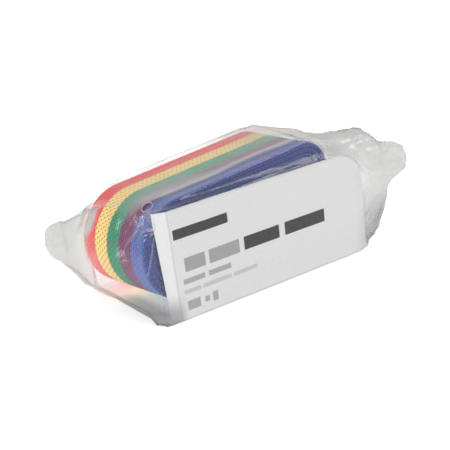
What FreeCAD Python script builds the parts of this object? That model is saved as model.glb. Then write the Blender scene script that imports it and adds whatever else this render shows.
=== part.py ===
import FreeCAD, Part
import Sketcher
import math
import os

# Gait belt as supplied: cotton webbing rolled round its own buckle, with an insert card, in a poly
# bag. Millimetres. +Z is up, +X runs along the roll, and the card faces -Y. The pack leans back on
# the roll's rear lower edge, because the card's lower edge stands below the roll and props up the
# front. The roll frame has its origin under the middle of the roll, at half the belt's width.

SIZES = {
    "lean_angle": 8.0,             # how far the pack leans back
    "belt_width": 50.8,            # 2 in
    "belt_length": 1524.0,         # 60 in, from the buckle's far end to the tip
    "webbing_thickness": 2.45,
    "layer_pitch": 2.8,            # from one turn of the roll to the next
    "layer_count": 5,
    "left_bend_radius": 25.9,      # outside of the roll's round left end
    "left_bend_x": -36.9,
    "top_bend_radius": 16.4,       # outside of the roll's upper right corner
    "top_bend_x": 47.0,
    "roll_height": 59.4,           # at the roll's right end
    "bottom_bend_radius": 18.0,    # outside of the roll's lower right corner
    "bottom_bend_x": 45.4,
    "fold_length": 42.0,           # webbing turned back over the bar and sewn down
    "fold_gap": 0.1,
    "fold_bend_x": 15.0,
    "fold_bend_radius": 7.0,
    "tip_length": 10.0,
    "tip_width": 51.4,
    "tip_wall": 0.42,
    "crimp_length": 9.0,           # webbing held inside the tip
    "crimp_depth": 0.45,           # how far the tip squeezes each face of the webbing
    "bar_x": 2.0,
    "bar_diameter": 4.0,
    "bar_clearance": 0.1,
    "frame_width": 58.5,           # across the outsides of the ears
    "frame_length": 42.0,
    "frame_sheet": 1.5,
    "frame_overhang": 3.6,         # ears past the bar's centre
    "frame_rise": 0.15,            # frame above the webbing under it
    "frame_bend_radius": 1.2,
    "plate_end": 5.2,              # base plate stops this far short of the bar's centre
    "ear_height": 13.2,
    "ear_low_height": 4.5,
    "ear_lug_height": 8.0,
    "ear_top_length": 7.0,
    "lip_height": 3.4,
    "ear_slope": 7.0,              # length of the ears' rise from their low edge to the top
    "window_left": 4.0,            # from the frame's far end
    "window_length": 8.0,
    "window_width": 34.0,
    "pin_setback": 17.0,           # jaw pin from the bar
    "pin_height": 8.8,             # jaw pin above the frame's underside
    "pin_diameter": 3.2,
    "pin_fit": 0.05,               # ear holes over the pins
    "rivet_head": 5.6,
    "rivet_head_thickness": 0.7,
    "jaw_bore": 3.32,
    "jaw_width": 54.6,
    "jaw_barrel": 7.0,
    "lever_length": 18.0,
    "lever_thickness": 1.8,
    "lever_rise": 1.5,             # lever's underside above the pin's centre
    "thumb_rise": 1.4,
    "nose_back": 1.5,
    "nose_front": 3.4,
    "nose_tip": 1.6,               # tooth tips from the pin's centre
    "tooth_gap": 0.5,              # tooth tips above the frame
    "tooth_pitch": 4.2,
    "tooth_depth": 2.2,
    "tooth_count": 13,
    "tooth_groove_share": 0.92,    # of the pitch that is cut away between two tooth tips
    "spring_wire": 0.8,
    "spring_radius": 2.6,
    "spring_pitch": 0.95,
    "spring_turns": 6.25,
    "spring_leg": 6.4,
    "slot_width": 12.0,
    "slot_back": 4.5,
    "slot_front": 10.0,
    "slot_floor": 3.3,             # below the pin's centre
    "stitch_pitch": 4.6,
    "stitch_length": 3.2,
    "stitch_width": 0.7,
    "stitch_height": 0.45,
    "stitch_box_width": 42.0,
    "stitch_box_length": 24.0,
    "stitch_margin": 3.0,          # from the cut end of the fold
    "stitch_lift": 0.03,           # off the webbing's face
    "cross_share": 0.86,           # of the box's diagonal that each line of the cross covers
    "label_width": 30.0,
    "label_height": 16.0,
    "label_thickness": 0.3,
    "label_start": 4.0,
    "card_front": 30.9,            # card's face from the middle of the belt's width
    "card_thickness": 0.4,
    "card_height": 56.8,
    "card_drop": 7.7,              # card's lower edge below the roll
    "card_left": -50.7,
    "card_right": 73.0,
    "card_flap": 8.0,              # strip folded back a little at the left end
    "card_flap_angle": 4.0,
    "card_curl_radius": 24.0,      # card bends back a little past the roll's right end
    "card_curl_angle": 35.0,
    "card_corner": 24.0,           # rounded off at the upper right
    "film_thickness": 0.25,
    "film_clearance": 0.6,
    "bag_tail": -92.0,             # end of the closed tail
    "bag_seal": -87.0,             # where the closed tail's seal starts
    "bag_pocket": -77.0,           # empty pocket of film between the tail and the roll
    "bag_mouth": 118.0,            # open end
    "tail_middle": 34.0,           # height of the tail's middle above the floor
    "tail_half_height": 8.0,
    "seal_half_height": 11.0,
    "pocket_half_height": 17.0,
    "seal_half_width": 0.6,
    "pocket_half_width": 7.0,
    "card_pocket_rise": 12.0,      # bag's front edge above the roll's middle, left of the card
    "vent_diameter": 6.2,
    "vent_x": -50.5,
    "vent_y": -8.6,
}


def make_sheet(document):
    table = document.addObject("Spreadsheet::Sheet", "Sizes")
    for row, (alias, value) in enumerate(SIZES.items(), start=1):
        table.set("A%d" % row, alias)
        table.set("B%d" % row, str(value))
        table.setAlias("B%d" % row, alias)
    document.recompute()
    return table


doc = FreeCAD.newDocument("gait_belt")
sheet = make_sheet(doc)


def size(alias):
    return float(sheet.get(alias))


# ------------------------------------------------------------------ places that pieces share

LEAN = math.radians(size("lean_angle"))
WEB = size("webbing_thickness")
HALF_BELT = size("belt_width") / 2
LAYERS = int(size("layer_count"))
RUN_CLEARANCE = 0.1
CUT_MARGIN = 1.0                   # how far a cutting outline stands outside what it cuts

ROLL_FRAME = FreeCAD.Placement(
    FreeCAD.Vector(0, 0, HALF_BELT * math.sin(LEAN) + size("film_thickness") + RUN_CLEARANCE),
    FreeCAD.Rotation(FreeCAD.Vector(1, 0, 0), -size("lean_angle")),
)


def bend_radius(outside, layers_in):
    """Radius of the webbing's middle line at a bend, so many layers in from the outside."""
    return outside - WEB / 2 - layers_in * size("layer_pitch")


INNER_RUN_Z = size("bottom_bend_radius") - bend_radius(size("bottom_bend_radius"), LAYERS)
BAR_X = size("bar_x")
BAR_BEND = size("bar_diameter") / 2 + size("bar_clearance") + WEB / 2
BAR_Z = INNER_RUN_Z + BAR_BEND
FOLD_Z = INNER_RUN_Z + WEB + size("fold_gap")
FRAME_Z = INNER_RUN_Z - size("layer_pitch") + WEB / 2 + size("frame_rise")
FRAME_RIGHT = BAR_X + size("frame_overhang")
FRAME_LEFT = FRAME_RIGHT - size("frame_length")
PLATE_Z = FRAME_Z + size("frame_sheet")
PIN_X = BAR_X - size("pin_setback")
PIN_Z = FRAME_Z + size("pin_height")


# ------------------------------------------------------------------ helpers

def new_body(label):
    body = doc.addObject("PartDesign::Body", label)
    body.Label = label
    return body


def new_sketch(body, name, role, offset=0.0):
    """Sketch on one of the body's origin planes, moved along that plane's normal."""
    sketch = body.newObject("Sketcher::SketchObject", name)
    plane = [feature for feature in body.Origin.OriginFeatures if feature.Role == role][0]
    sketch.AttachmentSupport = [(plane, "")]
    sketch.MapMode = "FlatFace"
    sketch.AttachmentOffset = FreeCAD.Placement(FreeCAD.Vector(0, 0, offset), FreeCAD.Rotation())
    return sketch


def flat(point):
    return FreeCAD.Vector(point[0], point[1], 0)


def draw_line(sketch, start, end):
    sketch.addGeometry(Part.LineSegment(flat(start), flat(end)), False)


def draw_arc(sketch, start, middle, end):
    sketch.addGeometry(Part.Arc(flat(start), flat(middle), flat(end)), False)


def draw_polygon(sketch, points):
    for index, point in enumerate(points):
        draw_line(sketch, point, points[(index + 1) % len(points)])
    for index in range(len(points)):
        following = (index + 1) % len(points)
        sketch.addConstraint(Sketcher.Constraint("Coincident", index, 2, following, 1))


def draw_circle(sketch, centre, alias):
    """Circle whose diameter follows a cell of the sheet."""
    index = sketch.addGeometry(Part.Circle(flat(centre), FreeCAD.Vector(0, 0, 1), size(alias) / 2), False)
    number = sketch.addConstraint(Sketcher.Constraint("Diameter", index, size(alias)))
    sketch.setExpression("Constraints[%d]" % number, "Sizes." + alias)


def pad(body, sketch, length, symmetric=True):
    """Pad whose length follows an expression on the sheet."""
    feature = body.newObject("PartDesign::Pad", sketch.Name + "Pad")
    feature.Profile = sketch
    feature.SideType = "Symmetric" if symmetric else "One side"
    feature.setExpression("Length", length)
    doc.recompute()
    return feature


def pocket(body, sketch, length=None, upward=False):
    """Pocket through everything both ways, or one way by a length on the sheet."""
    before = body.Shape.Volume
    feature = body.newObject("PartDesign::Pocket", sketch.Name + "Pocket")
    feature.Profile = sketch
    if length is None:
        feature.SideType = "Symmetric"
        feature.Type = "ThroughAll"
    else:
        feature.setExpression("Length", length)
        feature.Reversed = upward
    doc.recompute()
    if body.Shape.Volume >= before:
        raise RuntimeError(sketch.Name + " cuts nothing")
    return feature


def pocket_circle(body, name, centre, alias, fit=None):
    """Hole whose diameter follows a cell of the sheet, and another cell for its running fit."""
    sketch = new_sketch(body, name, "XZ_Plane")
    draw_circle(sketch, centre, alias)
    if fit is not None:
        sketch.setExpression("Constraints[0]", "Sizes.%s + Sizes.%s" % (alias, fit))
    return pocket(body, sketch)


def tangent(first, second):
    """Heading, start and end of the straight run from one bend to the next.

    A bend is (x, z, radius, turn), and its turn is 1 for anticlockwise and -1 for clockwise.
    """
    x1, z1, radius1, turn1 = first
    x2, z2, radius2, turn2 = second
    span = math.hypot(x2 - x1, z2 - z1)
    offset1 = turn1 * radius1
    offset2 = turn2 * radius2
    heading = math.atan2(z2 - z1, x2 - x1) - math.asin((offset2 - offset1) / span)
    normal = (-math.sin(heading), math.cos(heading))
    start = (x1 - offset1 * normal[0], z1 - offset1 * normal[1])
    end = (x2 - offset2 * normal[0], z2 - offset2 * normal[1])
    return heading, start, end


def beside(point, heading, along, left):
    """Point moved along a heading and then to its left."""
    x = point[0] + along * math.cos(heading) - left * math.sin(heading)
    z = point[1] + along * math.sin(heading) + left * math.cos(heading)
    return (x, z)


# ------------------------------------------------------------------ the webbing's path

def corner(name, layers_in):
    """One bend of the roll, seen from the card's side."""
    outside = size(name + "_bend_radius")
    height = size("roll_height") - outside if name == "top" else outside
    return (size(name + "_bend_x"), height, bend_radius(outside, layers_in), 1)


def webbing_bends():
    """From the cut end of the fold, round the bar, and out through the layers of the roll."""
    fold_bend = size("fold_bend_radius")
    bends = [
        (BAR_X + size("fold_length"), FOLD_Z, 0.0, 1),
        (size("fold_bend_x"), FOLD_Z + fold_bend, fold_bend, -1),
        (BAR_X, BAR_Z, BAR_BEND, 1),
    ]
    for layers_in in range(LAYERS, 0, -1):
        bends.append(corner("bottom", layers_in))
        bends.append(corner("top", layers_in - 1))
        bends.append(corner("left", layers_in - 1))
    bends.append(corner("bottom", 0))
    return bends


def bend_sweep(before, bend, after):
    """Angle that the webbing turns through at a bend."""
    heading_in = tangent(before, bend)[0]
    heading_out = tangent(bend, after)[0]
    return ((heading_out - heading_in) * bend[3]) % (2 * math.pi)


def path_length(bends, first):
    """Length of the middle line, from the end of one bend to the start of the last one."""
    total = 0.0
    for index in range(first, len(bends) - 1):
        heading, start, end = tangent(bends[index], bends[index + 1])
        total += math.hypot(end[0] - start[0], end[1] - start[1])
        if index > first:
            total += bends[index][2] * bend_sweep(*bends[index - 1:index + 2])
    return total


def webbing_end(bends):
    """Heading of the last straight run, and the place where the webbing ends on it."""
    beyond = corner("top", -1)
    heading, start, end = tangent(bends[-1], beyond)
    bar_to_tip = size("belt_length") - (BAR_X - FRAME_LEFT)
    last_bend = bends[-1][2] * bend_sweep(bends[-2], bends[-1], beyond)
    rest = bar_to_tip - path_length(bends, 2) - last_bend
    return heading, beside(start, heading, rest, 0)


BENDS = webbing_bends()
TIP_HEADING, TIP_POINT = webbing_end(BENDS)


def draw_side(sketch, bends, side):
    """One face of the webbing: side is 1 for its left and -1 for its right, in the path's heading."""
    shift = side * WEB / 2
    for index in range(len(bends) - 1):
        heading, start, end = tangent(bends[index], bends[index + 1])
        draw_line(sketch, beside(start, heading, 0, shift), beside(end, heading, 0, shift))
        if index + 2 < len(bends):
            x, z, radius, turn = bends[index + 1]
            sweep = bend_sweep(*bends[index:index + 3])
            own_radius = radius - turn * shift
            arc = []
            for part in (0, 0.5, 1):
                direction = heading + turn * sweep * part
                arc.append(beside((x, z), direction, 0, -turn * own_radius))
            draw_arc(sketch, *arc)


def make_webbing():
    body = new_body("webbing_strap")
    sketch = new_sketch(body, "WebbingProfile", "XZ_Plane")
    crimp = size("crimp_length")
    neck = beside(TIP_POINT, TIP_HEADING, -crimp, 0)
    bends = BENDS + [(neck[0], neck[1], 0.0, 1)]
    half = WEB / 2
    thin = half - size("crimp_depth")
    draw_side(sketch, bends, 1)
    draw_side(sketch, bends, -1)
    heading, start = tangent(bends[0], bends[1])[:2]
    draw_line(sketch, beside(start, heading, 0, half), beside(start, heading, 0, -half))
    end = []
    for side in (1, -1):
        shoulder = beside(neck, TIP_HEADING, 0, side * half)
        step = beside(neck, TIP_HEADING, 0, side * thin)
        end.append(beside(TIP_POINT, TIP_HEADING, 0, side * thin))
        draw_line(sketch, shoulder, step)
        draw_line(sketch, step, end[-1])
    draw_line(sketch, end[0], end[1])
    pad(body, sketch, "Sizes.belt_width")
    return body


def make_tip():
    """Sheet metal folded over the webbing's end and crimped flush with its faces."""
    body = new_body("strap_end_tip")
    sketch = new_sketch(body, "TipProfile", "XZ_Plane")
    half = WEB / 2
    slot = half - size("tip_wall")
    back = -size("crimp_length") + RUN_CLEARANCE
    front = back + size("tip_length")
    corners = [
        (back, -half), (front, -half), (front, half), (back, half),
        (back, slot), (RUN_CLEARANCE, slot), (RUN_CLEARANCE, -slot), (back, -slot),
    ]
    draw_polygon(sketch, [beside(TIP_POINT, TIP_HEADING, along, left) for along, left in corners])
    pad(body, sketch, "Sizes.tip_width")
    return body


# ------------------------------------------------------------------ the buckle

def round_sheet_bends(body, outside):
    """Rounds the outside of the two folds between the base plate and the ears."""
    folds = []
    for number, edge in enumerate(body.Shape.Edges, start=1):
        box = edge.BoundBox
        along = box.XLength > size("frame_length") / 2
        if along and box.ZMax < FRAME_Z + 0.01 and abs(box.Center.y) > outside - 0.01:
            folds.append("Edge%d" % number)
    channel = body.Tip
    fillet = body.newObject("PartDesign::Fillet", "SheetBends")
    fillet.Base = (channel, folds)
    fillet.setExpression("Radius", "Sizes.frame_bend_radius")
    doc.recompute()


def make_frame():
    """Stamped channel: a base plate between two ears that hold the bar and the jaw's pin."""
    body = new_body("buckle_frame")
    outside = size("frame_width") / 2
    inside = outside - size("frame_sheet")
    top = FRAME_Z + size("ear_height")

    channel = new_sketch(body, "Channel", "YZ_Plane", FRAME_LEFT)
    draw_polygon(channel, [
        (-outside, FRAME_Z), (outside, FRAME_Z), (outside, top), (inside, top),
        (inside, PLATE_Z), (-inside, PLATE_Z), (-inside, top), (-outside, top),
    ])
    pad(body, channel, "Sizes.frame_length", symmetric=False)
    round_sheet_bends(body, outside)

    lip = new_sketch(body, "Lip", "XZ_Plane")
    lip_top = FRAME_Z + size("lip_height")
    draw_polygon(lip, [
        (FRAME_LEFT, FRAME_Z), (FRAME_LEFT + size("frame_sheet"), FRAME_Z),
        (FRAME_LEFT + size("frame_sheet"), lip_top), (FRAME_LEFT, lip_top),
    ])
    pad(body, lip, "Sizes.frame_width - 2 * Sizes.frame_sheet")

    half_top = size("ear_top_length") / 2
    low = FRAME_Z + size("ear_low_height")
    lug = FRAME_Z + size("ear_lug_height")
    far_left = FRAME_LEFT - CUT_MARGIN
    far_right = FRAME_RIGHT + CUT_MARGIN
    outline = new_sketch(body, "EarOutline", "XZ_Plane")
    draw_polygon(outline, [
        (far_left, low), (PIN_X - half_top - size("ear_slope"), low), (PIN_X - half_top, top),
        (PIN_X + half_top, top), (BAR_X - half_top, lug), (far_right, lug),
        (far_right, top + CUT_MARGIN), (far_left, top + CUT_MARGIN),
    ])
    pocket(body, outline)

    opening = new_sketch(body, "BarOpening", "XY_Plane")
    plate_end = BAR_X - size("plate_end")
    draw_polygon(opening, [
        (plate_end, -inside), (far_right, -inside), (far_right, inside), (plate_end, inside),
    ])
    pocket(body, opening)

    window = new_sketch(body, "Window", "XY_Plane")
    window_left = FRAME_LEFT + size("window_left")
    window_right = window_left + size("window_length")
    half_window = size("window_width") / 2
    draw_polygon(window, [
        (window_left, -half_window), (window_right, -half_window),
        (window_right, half_window), (window_left, half_window),
    ])
    pocket(body, window)

    pocket_circle(body, "PinHoles", (PIN_X, PIN_Z), "pin_diameter", "pin_fit")
    pocket_circle(body, "BarHoles", (BAR_X, BAR_Z), "bar_diameter", "pin_fit")
    return body


def make_rivet(label, x, z, alias):
    """Rod across the frame, with a flattened head outside each ear."""
    turned = FreeCAD.Rotation(FreeCAD.Vector(1, 0, 0), -90)
    outside = size("frame_width") / 2
    head = size("rivet_head_thickness")
    shank = doc.addObject("Part::Cylinder", label + "_shank")
    shank.setExpression("Radius", "Sizes.%s / 2" % alias)
    shank.setExpression("Height", "Sizes.frame_width")
    shank.Placement = FreeCAD.Placement(FreeCAD.Vector(x, -outside, z), turned)
    shapes = [shank]
    for name, y in (("front", -outside - head), ("rear", outside)):
        cap = doc.addObject("Part::Cylinder", "%s_%s_head" % (label, name))
        cap.setExpression("Radius", "Sizes.%s / 2 + (Sizes.rivet_head - Sizes.pin_diameter) / 2" % alias)
        cap.setExpression("Height", "Sizes.rivet_head_thickness")
        cap.Placement = FreeCAD.Placement(FreeCAD.Vector(x, y, z), turned)
        shapes.append(cap)
    rivet = doc.addObject("Part::MultiFuse", label)
    rivet.Label = label
    rivet.Shapes = shapes
    return rivet


def make_jaw():
    """Sprung lever: a barrel on the pin, a toothed nose under it and a thumb lever over the bar."""
    body = new_body("buckle_jaw")
    tooth_z = PLATE_Z + size("tooth_gap")
    under = PIN_Z + size("lever_rise")
    over = under + size("lever_thickness")
    end = PIN_X + size("lever_length")
    thumb = size("thumb_rise")

    lever = new_sketch(body, "LeverAndNose", "XZ_Plane")
    nose_front = PIN_X + size("nose_front")
    nose_back = PIN_X - size("nose_back")
    thumb_start = end - 2 * thumb
    draw_polygon(lever, [
        (PIN_X + size("nose_tip"), tooth_z), (nose_front, PIN_Z), (nose_front, under),
        (thumb_start, under), (end, under + thumb), (end, over + thumb), (thumb_start, over),
        (PIN_X, over), (nose_back, PIN_Z), (nose_back, PIN_Z - size("slot_floor")), (PIN_X, tooth_z),
    ])
    pad(body, lever, "Sizes.jaw_width")

    barrel = new_sketch(body, "Barrel", "XZ_Plane")
    draw_circle(barrel, (PIN_X, PIN_Z), "jaw_barrel")
    pad(body, barrel, "Sizes.jaw_width")
    pocket_circle(body, "Bore", (PIN_X, PIN_Z), "jaw_bore")

    slot = new_sketch(body, "SpringSlot", "XY_Plane", PIN_Z - size("slot_floor"))
    half_slot = size("slot_width") / 2
    draw_polygon(slot, [
        (PIN_X - size("slot_back"), -half_slot), (PIN_X + size("slot_front"), -half_slot),
        (PIN_X + size("slot_front"), half_slot), (PIN_X - size("slot_back"), half_slot),
    ])
    pocket(body, slot, "Sizes.slot_floor + Sizes.jaw_barrel", upward=True)

    groove = new_sketch(body, "ToothGroove", "YZ_Plane")
    first = -size("tooth_pitch") * size("tooth_count") / 2
    reach = size("tooth_pitch") * size("tooth_groove_share") / 2
    below = tooth_z - RUN_CLEARANCE
    draw_polygon(groove, [
        (first - reach, below), (first + reach, below), (first, tooth_z + size("tooth_depth")),
    ])
    cut = pocket(body, groove)
    row = body.newObject("PartDesign::LinearPattern", "ToothRow")
    row.Originals = [cut]
    row.Direction = (groove, ["H_Axis"])
    row.setExpression("Length", "Sizes.tooth_pitch * Sizes.tooth_count")
    row.setExpression("Occurrences", "Sizes.tooth_count + 1")
    body.Tip = row
    doc.recompute()
    return body


def make_spring():
    """Torsion spring round the jaw's pin: one leg stands on the base plate, one lies along the lever."""
    wire = size("spring_wire") / 2
    radius = size("spring_radius")
    turns = size("spring_turns")
    length = turns * size("spring_pitch")
    helix = Part.makeHelix(size("spring_pitch"), length, radius)
    section = Part.Wire(Part.makeCircle(wire, FreeCAD.Vector(radius, 0, 0), FreeCAD.Vector(0, 1, 0)))
    coil = Part.Wire(helix).makePipeShell([section], True, True)

    foot = PIN_Z - PLATE_Z - wire - RUN_CLEARANCE
    fixed_end = FreeCAD.Vector(radius, 0, 0)
    fixed_leg = Part.makeCylinder(wire, foot, fixed_end, FreeCAD.Vector(0, -1, 0))
    sprung_end = FreeCAD.Vector(0, radius, length)
    sprung_leg = Part.makeCylinder(wire, size("spring_leg"), sprung_end, FreeCAD.Vector(-1, 0, 0))
    joints = [Part.makeSphere(wire, fixed_end), Part.makeSphere(wire, sprung_end)]
    shape = coil.fuse([fixed_leg, sprung_leg] + joints)

    axes = FreeCAD.Rotation(FreeCAD.Vector(-1, 0, 0), FreeCAD.Vector(0, 0, 1), FreeCAD.Vector(0, 1, 0))
    on_pin = FreeCAD.Placement(FreeCAD.Vector(PIN_X, -length / 2, PIN_Z), axes)
    spring = doc.addObject("Part::Feature", "jaw_spring")
    spring.Label = "jaw_spring"
    spring.Shape = shape.transformGeometry(on_pin.toMatrix())
    return spring


# ------------------------------------------------------------------ sewing

def stitch_line(start, end):
    """Places of the stitches in one sewn line: middle x, middle y and heading."""
    dx = end[0] - start[0]
    dy = end[1] - start[1]
    count = max(1, round(math.hypot(dx, dy) / size("stitch_pitch")))
    places = []
    for index in range(count):
        part = (index + 0.5) / count
        places.append((start[0] + dx * part, start[1] + dy * part, math.degrees(math.atan2(dy, dx))))
    return places


def make_stitching():
    """Box and cross of thread that holds the fold, seen as short stitches on the webbing."""
    right = BAR_X + size("fold_length") - size("stitch_margin")
    left = right - size("stitch_box_length")
    side = size("stitch_box_width") / 2
    corners = [(left, -side), (right, -side), (right, side), (left, side)]
    places = []
    for index in range(4):
        places += stitch_line(corners[index], corners[(index + 1) % 4])
    middle_x = (left + right) / 2
    reach_x = (right - left) / 2 * size("cross_share")
    reach_y = side * size("cross_share")
    for turn in (1, -1):
        line = stitch_line((middle_x - reach_x, -turn * reach_y), (middle_x + reach_x, turn * reach_y))
        places += [place for place in line if abs(place[1]) > size("stitch_length")]

    length = size("stitch_length")
    width = size("stitch_width")
    top_face = FOLD_Z + WEB / 2 + size("stitch_lift")
    stitches = []
    for x, y, heading in places:
        corner_point = FreeCAD.Vector(-length / 2, -width / 2, 0)
        stitch = Part.makeBox(length, width, size("stitch_height"), corner_point)
        stitch.rotate(FreeCAD.Vector(0, 0, 0), FreeCAD.Vector(0, 0, 1), heading)
        stitch.translate(FreeCAD.Vector(x, y, top_face))
        stitches.append(stitch)
    stitching = doc.addObject("Part::Feature", "fold_stitching")
    stitching.Label = "fold_stitching"
    stitching.Shape = Part.makeCompound(stitches)
    return stitching


def make_label():
    """Care label sewn flat on the inner face of the webbing, just past the fold."""
    body = new_body("care_label")
    sketch = new_sketch(body, "LabelProfile", "XZ_Plane")
    heading, start = tangent(BENDS[3], BENDS[4])[:2]
    near = WEB / 2 + RUN_CLEARANCE / 2
    far = near + size("label_thickness")
    low = size("label_start")
    high = low + size("label_height")
    corners = [(low, near), (high, near), (high, far), (low, far)]
    draw_polygon(sketch, [beside(start, heading, along, left) for along, left in corners])
    pad(body, sketch, "Sizes.label_width")
    return body


# ------------------------------------------------------------------ packaging

def make_card():
    """Insert card in front of the roll: a strip folded back at the left, bent back at the right."""
    body = new_body("insert_card")
    sketch = new_sketch(body, "CardEdge", "XY_Plane", -size("card_drop"))
    face = -size("card_front")
    thick = size("card_thickness")
    left = size("card_left")
    right = size("card_right")
    curl = size("card_curl_radius")
    angle = math.radians(size("card_flap_angle"))
    flap = (-size("card_flap") * math.cos(angle), size("card_flap") * math.sin(angle))
    mitre = thick * math.tan(angle / 2)
    rear = (thick * math.sin(angle), thick * math.cos(angle))
    bend = math.radians(size("card_curl_angle"))

    def curl_point(radius, part):
        return (right + radius * math.sin(bend * part), face + curl - radius * math.cos(bend * part))

    inner = curl - thick
    flap_end = (left + flap[0], face + flap[1])
    flap_rear = (flap_end[0] + rear[0], flap_end[1] + rear[1])
    draw_line(sketch, flap_end, (left, face))
    draw_line(sketch, (left, face), (right, face))
    draw_arc(sketch, curl_point(curl, 0), curl_point(curl, 0.5), curl_point(curl, 1))
    draw_line(sketch, curl_point(curl, 1), curl_point(inner, 1))
    draw_arc(sketch, curl_point(inner, 1), curl_point(inner, 0.5), curl_point(inner, 0))
    draw_line(sketch, (right, face + thick), (left + mitre, face + thick))
    draw_line(sketch, (left + mitre, face + thick), flap_rear)
    draw_line(sketch, flap_rear, flap_end)
    pad(body, sketch, "Sizes.card_height", symmetric=False)

    slope = math.tan(LEAN)
    drop = (RUN_CLEARANCE - ROLL_FRAME.Base.z + size("film_thickness")) / math.cos(LEAN)
    deep = 2 * size("card_drop")
    front = face - CUT_MARGIN
    floor = new_sketch(body, "FloorTrim", "YZ_Plane")
    draw_polygon(floor, [(front, front * slope + drop), (0.0, drop), (0.0, -deep), (front, -deep)])
    pocket(body, floor)

    top = size("card_height") - size("card_drop")
    cut = size("card_corner")
    end_x = curl_point(curl, 1)[0]
    middle = (end_x - cut * (1 - math.sin(math.pi / 4)), top - cut * (1 - math.sin(math.pi / 4)))
    corner_trim = new_sketch(body, "CornerTrim", "XZ_Plane")
    draw_arc(corner_trim, (end_x - cut, top), middle, (end_x, top - cut))
    draw_line(corner_trim, (end_x, top - cut), (end_x + deep, top - cut))
    draw_line(corner_trim, (end_x + deep, top - cut), (end_x + deep, top + deep))
    draw_line(corner_trim, (end_x + deep, top + deep), (end_x - cut, top + deep))
    draw_line(corner_trim, (end_x - cut, top + deep), (end_x - cut, top))
    pocket(body, corner_trim)
    return body


def bag_section(roof, card_top=None):
    """Outside of the bag across the pack, as (y, z): floor, card's top, roll's top, buckle, floor."""
    clear = size("film_clearance")
    front = -size("card_front") - clear
    buckle = size("frame_width") / 2 + size("rivet_head_thickness") + clear
    card_top = size("card_height") - size("card_drop") + clear if card_top is None else card_top
    buckle_top = FRAME_Z + size("ear_height")

    def upright(y, z):
        point = ROLL_FRAME.multVec(FreeCAD.Vector(0, y, z))
        return (point.y, point.z)

    card_corner = upright(front, card_top)
    rear_corner = upright(HALF_BELT + clear, roof)
    brow = upright(-HALF_BELT - clear, max(roof, card_top))
    part = (brow[0] - card_corner[0]) / (rear_corner[0] - card_corner[0])
    taut = card_corner[1] + part * (rear_corner[1] - card_corner[1])
    return [
        (upright(front, -size("card_drop"))[0], 0.0),
        card_corner,
        (brow[0], max(brow[1], taut)),
        rear_corner,
        upright(buckle, min(buckle_top, roof - CUT_MARGIN)),
        (upright(buckle, 0.0)[0], 0.0),
    ]


def tail_section(half_height, half_width):
    """Beyond the roll's closed end the film's two sides draw together to a flat tail."""
    middle = size("tail_middle")
    low = middle - half_height
    high = middle + half_height
    centre = ROLL_FRAME.multVec(FreeCAD.Vector(0, 0, middle)).y
    near = centre - half_width
    far = centre + half_width
    shoulder = high - size("seal_half_width")
    return [(near, low), (near, shoulder), (centre, high), (far, shoulder), (far, middle), (far, low)]


PARALLEL = 1e-6                    # two sides that meet at less than this angle are in line


def inset(points, depth):
    """Moves every side of a clockwise outline inwards by the same depth."""
    moved = []
    count = len(points)
    for index in range(count):
        lines = []
        for first, second in ((index - 1, index), (index, index + 1)):
            (y1, z1), (y2, z2) = points[first % count], points[second % count]
            length = math.hypot(y2 - y1, z2 - z1)
            normal = ((z2 - z1) / length, -(y2 - y1) / length)
            lines.append((normal, normal[0] * y1 + normal[1] * z1 + depth))
        (n1, d1), (n2, d2) = lines
        cross = n1[0] * n2[1] - n1[1] * n2[0]
        if abs(cross) > PARALLEL:
            moved.append(((d1 * n2[1] - d2 * n1[1]) / cross, (n1[0] * d2 - n2[0] * d1) / cross))
        else:
            y, z = points[index]
            moved.append((y + depth * n1[0], z + depth * n1[1]))
    return moved


END_STEPS = 5                      # outlines over the roll's round end, to the top of its bend


def bag_stations():
    """Outlines along the bag, from the closed tail, over the roll's round end, to the mouth."""
    clear = size("film_clearance")
    radius = size("left_bend_radius")
    stations = [
        (size("bag_tail"), tail_section(size("tail_half_height"), size("seal_half_width"))),
        (size("bag_seal"), tail_section(size("seal_half_height"), size("seal_half_width"))),
        (size("bag_pocket"), tail_section(size("pocket_half_height"), size("pocket_half_width"))),
    ]
    for step in range(END_STEPS + 1):
        angle = math.pi / 2 * step / END_STEPS
        x = size("left_bend_x") - (radius + clear) * math.cos(angle)
        roof = radius + (radius + clear) * math.sin(angle)
        front_edge = roof + size("card_pocket_rise") if step == 0 else None
        stations.append((x, bag_section(roof, front_edge)))
    roof = size("roll_height") + clear
    stations.append((size("top_bend_x"), bag_section(roof)))
    stations.append((size("bag_mouth"), bag_section(roof)))
    return stations


def loft(stations):
    wires = []
    for x, outline in stations:
        corners = [FreeCAD.Vector(x, y, z) for y, z in outline]
        wires.append(Part.makePolygon(corners + corners[:1]))
    return Part.makeLoft(wires, True, True)


def make_bag():
    """Film sleeve round the pack: flat underneath, closed tail at the left, open mouth at the right."""
    film = size("film_thickness")
    outer_stations = bag_stations()
    inner_stations = [(x, inset(outline, film)) for x, outline in outer_stations[1:]]
    beyond = (inner_stations[-1][0] + CUT_MARGIN, inner_stations[-1][1])
    outer = doc.addObject("Part::Feature", "bag_outside")
    outer.Shape = loft(outer_stations)
    inner = doc.addObject("Part::Feature", "bag_inside")
    inner.Shape = loft(inner_stations + [beyond])
    vent = doc.addObject("Part::Cylinder", "bag_vent")
    vent.setExpression("Radius", "Sizes.vent_diameter / 2")
    vent.setExpression("Height", "Sizes.roll_height")
    vent.Placement.Base = FreeCAD.Vector(size("vent_x"), size("vent_y"), size("roll_height") / 2)
    hollow = doc.addObject("Part::Cut", "bag_hollow")
    hollow.Base = outer
    hollow.Tool = inner
    bag = doc.addObject("Part::Cut", "poly_bag")
    bag.Label = "poly_bag"
    bag.Base = hollow
    bag.Tool = vent
    return bag


# ------------------------------------------------------------------ assemble, check and write

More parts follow.
